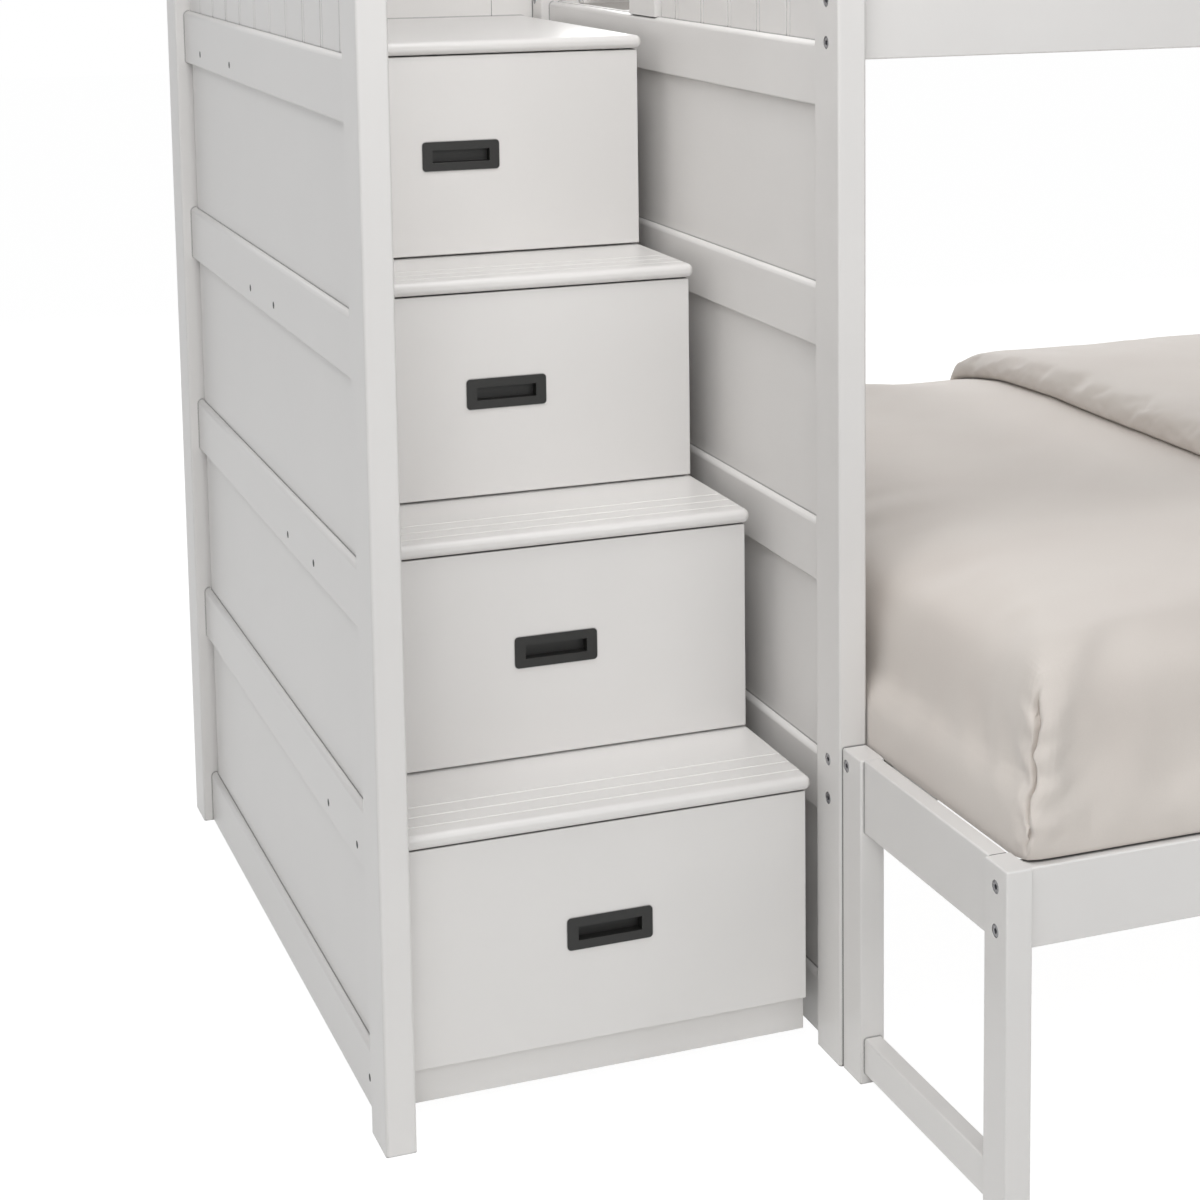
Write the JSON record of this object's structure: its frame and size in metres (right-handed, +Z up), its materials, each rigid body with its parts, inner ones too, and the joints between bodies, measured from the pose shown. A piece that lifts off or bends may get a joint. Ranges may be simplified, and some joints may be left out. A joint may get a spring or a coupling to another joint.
{
  "type": "bunk bed with storage stairs",
  "caption": "Bunk bed with panelled ends, a wider lower bed on low leg frames, guard rails above, and a stair tower whose steps are drawers with recessed pulls.",
  "frame": {"origin": "on the floor, under the middle of the bounding box", "axes": "+X along the bed away from the stairs, +Y to the wall behind, +Z up"},
  "size_m": [2.488, 1.447, 1.66],
  "materials": {
    "white_lacquer": "semi-gloss white lacquer on wood",
    "bare_wood": "planed pine, bare",
    "drawer_wood": "pale plywood, sealed",
    "black_metal": "matte black powder coat",
    "steel": "zinc-plated steel",
    "cover_cloth": "plain-weave beige cotton"
  },
  "bodies": {
    "bed_frame": {"tower_front_post": "white_lacquer", "tower_rear_post": "white_lacquer", "tower_rails": "white_lacquer", "tower_panels": "white_lacquer", "tower_beadboard": "white_lacquer", "head_front_post": "white_lacquer", "head_rear_post": "white_lacquer", "head_rails": "white_lacquer", "head_panels": "white_lacquer", "head_beadboard": "white_lacquer", "entry_stile": "white_lacquer", "foot_front_post": "white_lacquer", "foot_rear_post": "white_lacquer", "foot_rails": "white_lacquer", "foot_panels": "white_lacquer", "foot_beadboard": "white_lacquer", "upper_front_rail": "white_lacquer", "upper_rear_rail": "white_lacquer", "front_guard": "white_lacquer", "rear_guard": "white_lacquer", "lower_front_rail": "white_lacquer", "lower_middle_rail": "white_lacquer", "lower_rear_rail": "white_lacquer", "head_inner_leg": "white_lacquer", "head_outer_leg": "white_lacquer", "head_end_rail": "white_lacquer", "head_stretcher": "white_lacquer", "foot_leg_frame": "white_lacquer", "tread_1": "white_lacquer", "tread_2": "white_lacquer", "tread_3": "white_lacquer", "tread_4": "white_lacquer", "left_side_panel": "white_lacquer", "right_side_panel": "white_lacquer", "plinth": "white_lacquer", "back_boards": "white_lacquer", "slat_ledgers": "bare_wood", "upper_slats": "bare_wood", "lower_slats": "bare_wood", "tread_cleats": "bare_wood", "drawer_runners": "bare_wood", "bolts_and_nuts": "steel", "extension_brackets": "steel", "stair_screws": "steel", "lower_mattress": "cover_cloth", "folded_quilt": "cover_cloth"},
    "drawer_1": {"drawer_1_front": "white_lacquer", "drawer_1_box": "drawer_wood", "drawer_1_pull": "black_metal"},
    "drawer_2": {"drawer_2_front": "white_lacquer", "drawer_2_box": "drawer_wood", "drawer_2_pull": "black_metal"},
    "drawer_3": {"drawer_3_front": "white_lacquer", "drawer_3_box": "drawer_wood", "drawer_3_pull": "black_metal"},
    "drawer_4": {"drawer_4_front": "white_lacquer", "drawer_4_box": "drawer_wood", "drawer_4_pull": "black_metal"}
  },
  "joints": [
    {"name": "drawer_1_slide", "type": "slide", "parent": "bed_frame", "child": "drawer_1", "axis": [0, -1, 0], "range_m": [0, 0.3]},
    {"name": "drawer_2_slide", "type": "slide", "parent": "bed_frame", "child": "drawer_2", "axis": [0, -1, 0], "range_m": [0, 0.3]},
    {"name": "drawer_3_slide", "type": "slide", "parent": "bed_frame", "child": "drawer_3", "axis": [0, -1, 0], "range_m": [0, 0.3]},
    {"name": "drawer_4_slide", "type": "slide", "parent": "bed_frame", "child": "drawer_4", "axis": [0, -1, 0], "range_m": [0, 0.3]}
  ]
}
